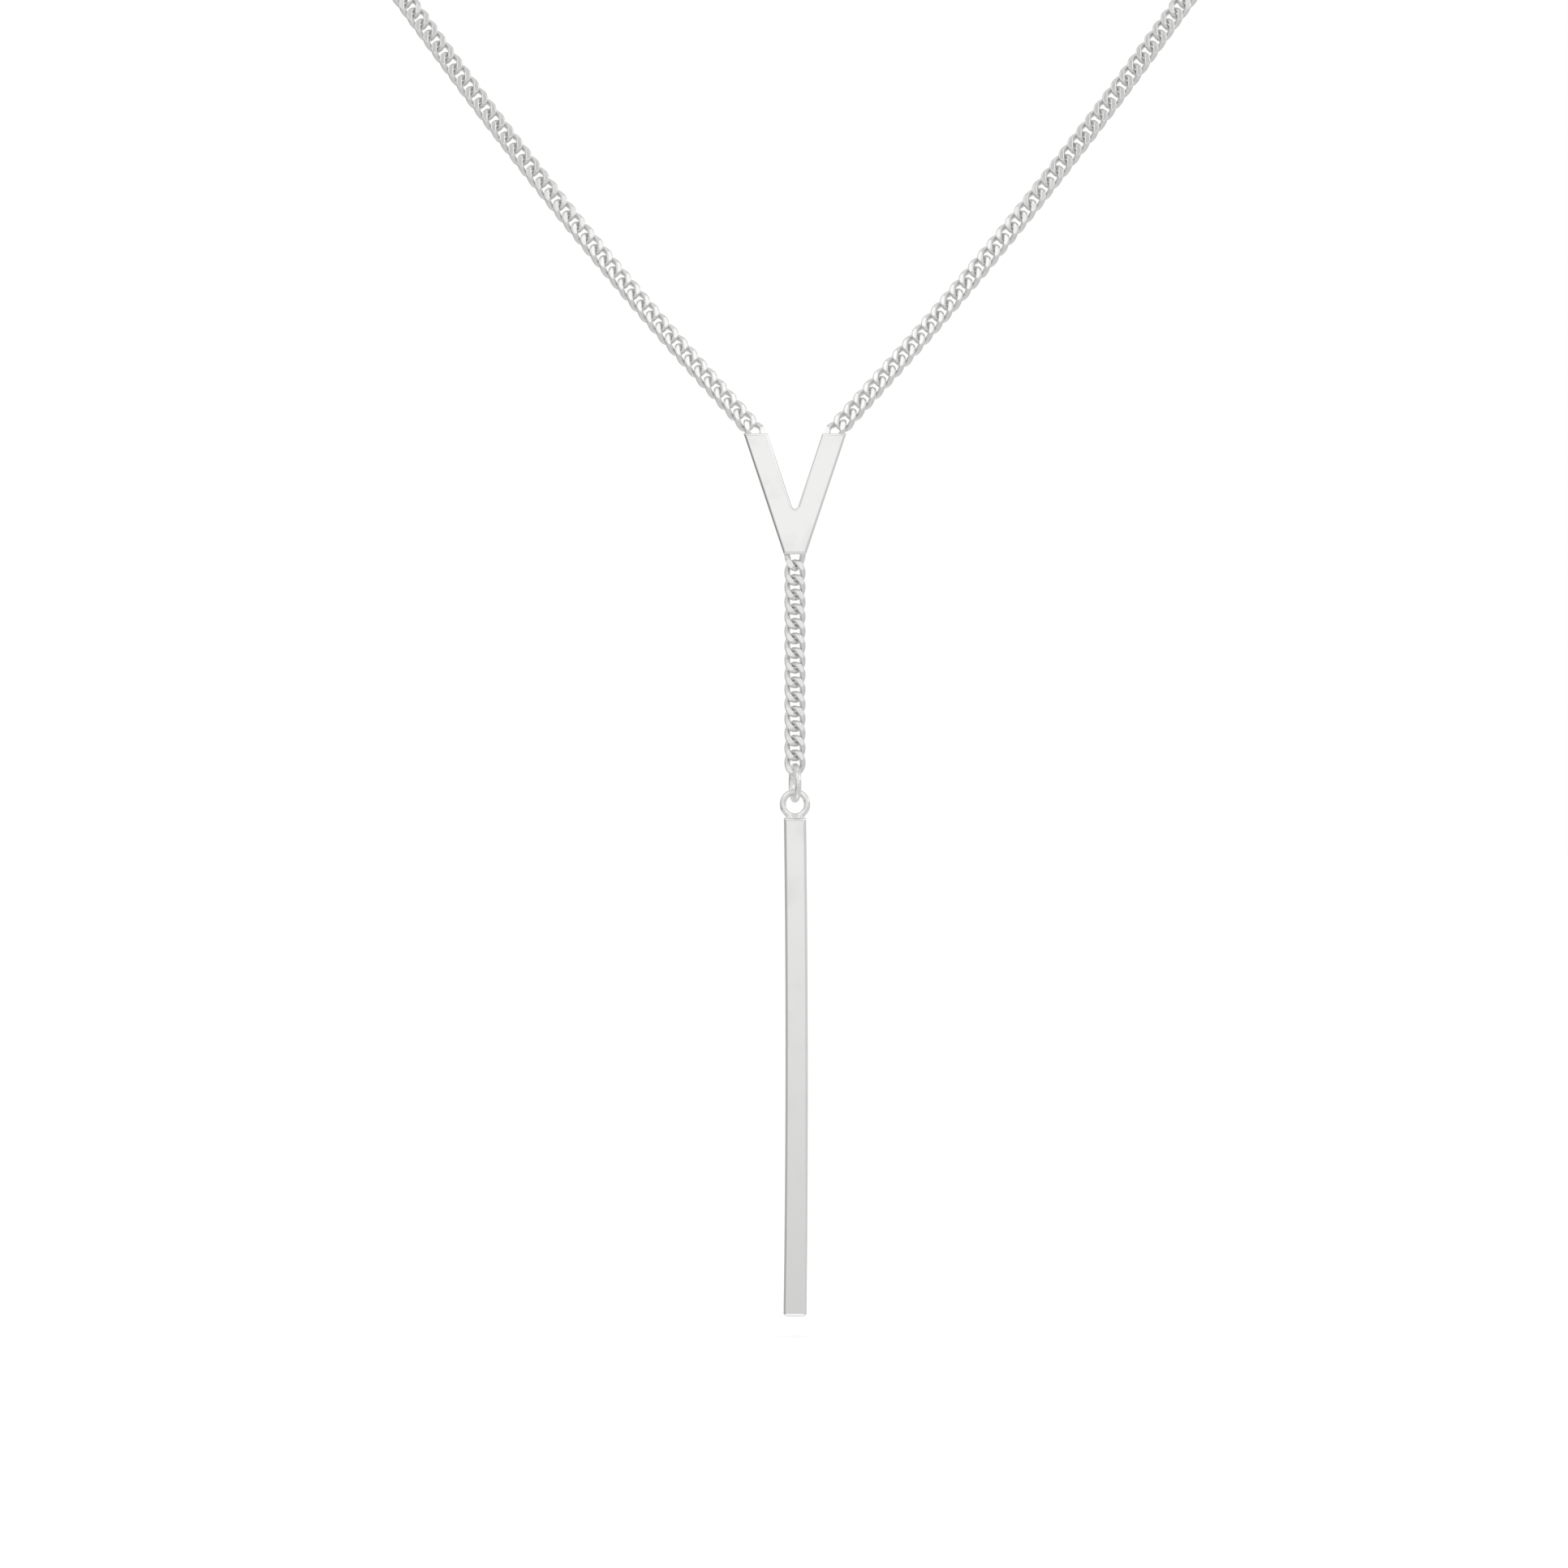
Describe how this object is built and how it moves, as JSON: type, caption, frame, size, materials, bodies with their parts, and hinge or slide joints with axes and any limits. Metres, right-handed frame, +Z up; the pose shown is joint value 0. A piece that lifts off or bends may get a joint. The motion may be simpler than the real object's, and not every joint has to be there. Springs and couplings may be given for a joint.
{
  "type": "y necklace",
  "caption": "Polished silver curb chain necklace with a flat V in front, a short drop chain and a long slim bar hanging from a jump ring; held in its worn form.",
  "frame": {"origin": "middle of the neck opening, at the height of the nape where the clasp sits; the mount named neck", "axes": "+Z up, the front of the necklace faces -Y, +X to the right as seen from the front"},
  "size_m": [0.1178, 0.1235, 0.176],
  "materials": {
    "plate_silver": "polished sterling silver",
    "chain_silver": "polished sterling silver, filed flat on both faces"
  },
  "bodies": {
    "necklace": {"v_plate": "plate_silver", "drop_chain": "chain_silver", "front_chain_left": "chain_silver", "front_chain_right": "chain_silver", "back_chain_left": "chain_silver", "back_chain_right": "chain_silver", "clasp": "chain_silver", "clasp_ring": "chain_silver"},
    "ring": {"jump_ring": "chain_silver"},
    "bar": {"bar_pendant": "plate_silver"}
  },
  "joints": [
    {"name": "ring_swing", "type": "hinge", "parent": "necklace", "child": "ring", "pos_m": [0, -0.064, -0.12445], "axis": [0.9744, 0.225, 0], "range_deg": [-40, 40]},
    {"name": "bar_swing", "type": "hinge", "parent": "ring", "child": "bar", "pos_m": [0, -0.064, -0.12679], "axis": [0, 1, 0], "range_deg": [-90, 90]}
  ]
}
